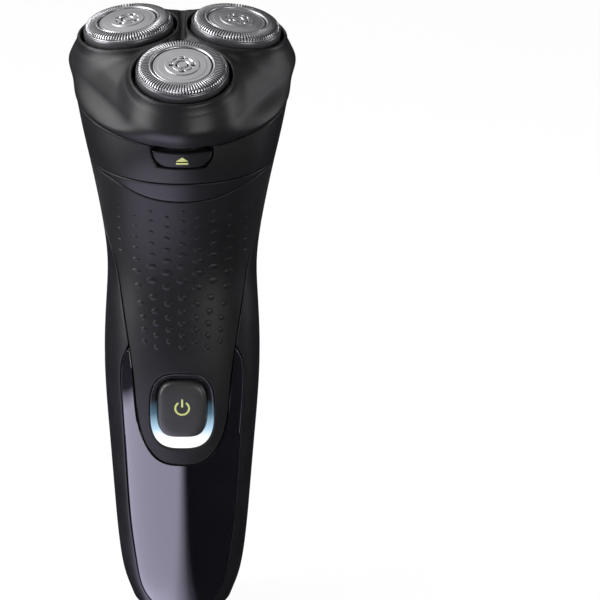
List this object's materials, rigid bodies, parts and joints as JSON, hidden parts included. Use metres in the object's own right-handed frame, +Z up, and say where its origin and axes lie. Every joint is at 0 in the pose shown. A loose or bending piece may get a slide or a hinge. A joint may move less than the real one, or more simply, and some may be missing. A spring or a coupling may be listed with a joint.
{
  "type": "rotary electric shaver",
  "caption": "Cordless rotary shaver with tilting round shaving heads on a flip-open unit, a waisted handle with dimpled soft grip and a lit power button.",
  "frame": {"origin": "middle of the whole shaver seen from above, on the flat foot it stands on", "axes": "+Z up along the handle, -Y towards the front with the power button, +X to the right seen from the back of the hand; the shaving heads lean forward to -Y"},
  "size_m": [0.0602, 0.0588, 0.1707],
  "materials": {
    "satin_shell": "satin black with a faint violet cast",
    "matte_cover": "fine matte near-black",
    "soft_grip": "soft-touch charcoal with low raised dimples",
    "gloss_panel": "piano-gloss violet black",
    "button": "satin black key with a pale yellow-green power mark",
    "light_guide": "milky white light guide, lit pale blue-white",
    "rim_grey": "smooth mid-grey",
    "cutter_grey": "dark grey moulded",
    "gear_white": "natural white acetal",
    "inner_grey": "moulded dark grey",
    "board_green": "green solder mask",
    "battery_wrap": "shrink-wrapped cell",
    "seal_rubber": "black rubber",
    "steel": "ground and brushed steel",
    "contact_brass": "turned pin"
  },
  "bodies": {
    "handle": {"rear_housing": "satin_shell", "front_housing": "inner_grey", "grip_panel": "soft_grip", "lower_panel": "gloss_panel", "neck_collar": "matte_cover", "light_ring": "light_guide", "chassis": "inner_grey", "circuit_board": "board_green", "power_switch": "inner_grey", "status_led": "light_guide", "battery_cell": "battery_wrap", "charging_socket": "matte_cover", "contact_pin_1": "contact_brass", "contact_pin_2": "contact_brass", "chamber_floor": "inner_grey", "gear_plate": "inner_grey", "motor_can": "steel", "motor_end_bell": "inner_grey", "hinge_pin": "steel", "floor_screw_1": "steel", "floor_screw_2": "steel", "floor_screw_3": "steel", "spindle_seal_1": "seal_rubber", "spindle_seal_2": "seal_rubber", "spindle_seal_3": "seal_rubber"},
    "motor_rotor": {"motor_shaft": "steel", "motor_pinion": "contact_brass"},
    "centre_gear": {"centre_gear": "gear_white"},
    "power_button": {"power_button": "button"},
    "release_button": {"release_button": "matte_cover", "release_latch": "inner_grey"},
    "shaving_unit": {"head_cover": "matte_cover", "retaining_frame": "inner_grey"},
    "frame_lock": {"frame_lock": "cutter_grey"},
    "drive_1": {"drive_gear_1": "gear_white", "drive_spindle_1": "steel"},
    "carrier_1": {"cap_carrier_1": "inner_grey"},
    "cap_1": {"shaving_cap_1": "steel", "cap_disc_1": "steel", "cap_rim_1": "rim_grey"},
    "cutter_1": {"cutter_1": "cutter_grey"},
    "drive_2": {"drive_gear_2": "gear_white", "drive_spindle_2": "steel"},
    "carrier_2": {"cap_carrier_2": "inner_grey"},
    "cap_2": {"shaving_cap_2": "steel", "cap_disc_2": "steel", "cap_rim_2": "rim_grey"},
    "cutter_2": {"cutter_2": "cutter_grey"},
    "drive_3": {"drive_gear_3": "gear_white", "drive_spindle_3": "steel"},
    "carrier_3": {"cap_carrier_3": "inner_grey"},
    "cap_3": {"shaving_cap_3": "steel", "cap_disc_3": "steel", "cap_rim_3": "rim_grey"},
    "cutter_3": {"cutter_3": "cutter_grey"}
  },
  "joints": [
    {"name": "power_press", "type": "slide", "parent": "handle", "child": "power_button", "axis": [0, 1, 0], "range_m": [0, 0.0006], "stiffness_N_per_m": 1500, "springref_m": -0.0003},
    {"name": "release_press", "type": "slide", "parent": "handle", "child": "release_button", "axis": [0, 0.9659, 0.2588], "range_m": [0, 0.0012], "stiffness_N_per_m": 1200, "springref_m": -0.0004},
    {"name": "unit_flip", "type": "hinge", "parent": "handle", "child": "shaving_unit", "pos_m": [0, 0.02746, 0.15602], "axis": [-1, 0, 0], "range_deg": [0, 95]},
    {"name": "lock_turn", "type": "hinge", "parent": "shaving_unit", "child": "frame_lock", "pos_m": [0, 0.00235, 0.15468], "axis": [0, -0.2588, 0.9659], "range_deg": [0, 90]},
    {"name": "centre_spin", "type": "hinge", "parent": "handle", "child": "centre_gear", "pos_m": [0, 0.00519, 0.14405], "axis": [0, -0.2588, 0.9659], "continuous": true},
    {"name": "motor_spin", "type": "hinge", "parent": "handle", "child": "motor_rotor", "pos_m": [0, -0.00395, 0.13953], "axis": [0, -0.2588, 0.9659], "continuous": true},
    {"name": "drive_spin_1", "type": "hinge", "parent": "handle", "child": "drive_1", "pos_m": [0, -0.00972, 0.14213], "axis": [0, -0.2588, 0.9659], "continuous": true},
    {"name": "head_float_1", "type": "slide", "parent": "shaving_unit", "child": "carrier_1", "axis": [0, 0.3859, -0.9225], "range_m": [0, 0.0012], "stiffness_N_per_m": 400, "springref_m": -0.0006},
    {"name": "head_tilt_1", "type": "hinge", "parent": "carrier_1", "child": "cap_1", "pos_m": [0, -0.01586, 0.15913], "axis": [1, 0, 0], "range_deg": [-5, 5], "stiffness_Nm_per_rad": 0.02},
    {"name": "cutter_spin_1", "type": "hinge", "parent": "cap_1", "child": "cutter_1", "pos_m": [0, -0.01586, 0.15913], "axis": [0, -0.3859, 0.9225], "continuous": true},
    {"name": "drive_spin_2", "type": "hinge", "parent": "handle", "child": "drive_2", "pos_m": [0.0129, 0.01187, 0.14791], "axis": [0, -0.2588, 0.9659], "continuous": true},
    {"name": "head_float_2", "type": "slide", "parent": "shaving_unit", "child": "carrier_2", "axis": [-0.116, 0.1918, -0.9746], "range_m": [0, 0.0012], "stiffness_N_per_m": 400, "springref_m": -0.0006},
    {"name": "head_tilt_2", "type": "hinge", "parent": "carrier_2", "child": "cap_2", "pos_m": [0.01423, 0.00795, 0.16551], "axis": [-0.5, 0.8365, 0.2241], "range_deg": [-5, 5], "stiffness_Nm_per_rad": 0.02},
    {"name": "cutter_spin_2", "type": "hinge", "parent": "cap_2", "child": "cutter_2", "pos_m": [0.01423, 0.00795, 0.16551], "axis": [0.116, -0.1918, 0.9746], "continuous": true},
    {"name": "drive_spin_3", "type": "hinge", "parent": "handle", "child": "drive_3", "pos_m": [-0.0129, 0.01187, 0.14791], "axis": [0, -0.2588, 0.9659], "continuous": true},
    {"name": "head_float_3", "type": "slide", "parent": "shaving_unit", "child": "carrier_3", "axis": [0.116, 0.1918, -0.9746], "range_m": [0, 0.0012], "stiffness_N_per_m": 400, "springref_m": -0.0006},
    {"name": "head_tilt_3", "type": "hinge", "parent": "carrier_3", "child": "cap_3", "pos_m": [-0.01423, 0.00795, 0.16551], "axis": [-0.5, -0.8365, -0.2241], "range_deg": [-5, 5], "stiffness_Nm_per_rad": 0.02},
    {"name": "cutter_spin_3", "type": "hinge", "parent": "cap_3", "child": "cutter_3", "pos_m": [-0.01423, 0.00795, 0.16551], "axis": [-0.116, -0.1918, 0.9746], "continuous": true}
  ],
  "couplings": [
    {"joint": "motor_spin", "follows": "centre_spin", "ratio": -3},
    {"joint": "drive_spin_1", "follows": "centre_spin", "ratio": -1.5},
    {"joint": "cutter_spin_1", "follows": "centre_spin", "ratio": -1.5},
    {"joint": "drive_spin_2", "follows": "centre_spin", "ratio": -1.5},
    {"joint": "cutter_spin_2", "follows": "centre_spin", "ratio": -1.5},
    {"joint": "drive_spin_3", "follows": "centre_spin", "ratio": -1.5},
    {"joint": "cutter_spin_3", "follows": "centre_spin", "ratio": -1.5}
  ]
}
